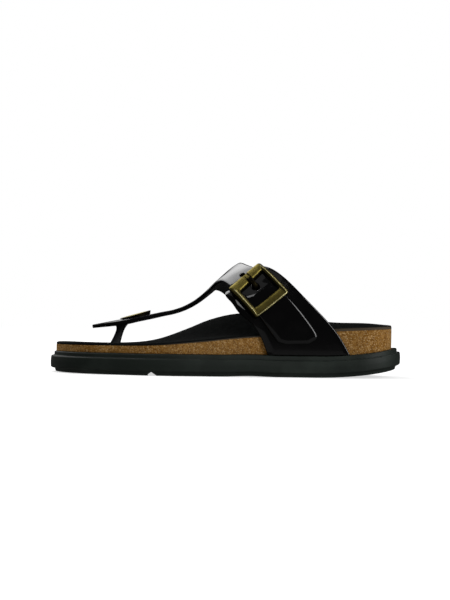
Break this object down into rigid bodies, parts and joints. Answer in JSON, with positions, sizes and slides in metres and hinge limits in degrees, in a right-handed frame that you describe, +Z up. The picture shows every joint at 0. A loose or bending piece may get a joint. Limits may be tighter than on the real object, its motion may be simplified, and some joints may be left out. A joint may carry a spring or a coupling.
{
  "type": "toe post sandal",
  "caption": "Left toe post sandal with a black T-shaped leather strap, a large square brass buckle, a contoured cork footbed and a thick black stepped sole.",
  "frame": {"origin": "on the floor, under the middle of the bounding box", "axes": "+X to the toe, +Y to the outer side of a left foot, +Z up"},
  "size_m": [0.264, 0.0996, 0.0853],
  "materials": {
    "sole_rubber": "satin",
    "cork": "matte",
    "lining_nap": "matte",
    "patent_leather": "gloss",
    "aged_brass": "satin"
  },
  "bodies": {
    "root": {"outsole": "sole_rubber", "cork_footbed": "cork", "footbed_lining": "lining_nap", "t_strap": "patent_leather", "outer_quarter": "patent_leather", "toe_post": "patent_leather", "toe_rivet": "aged_brass", "buckle_frame": "aged_brass", "buckle_prong": "aged_brass"}
  },
  "joints": []
}
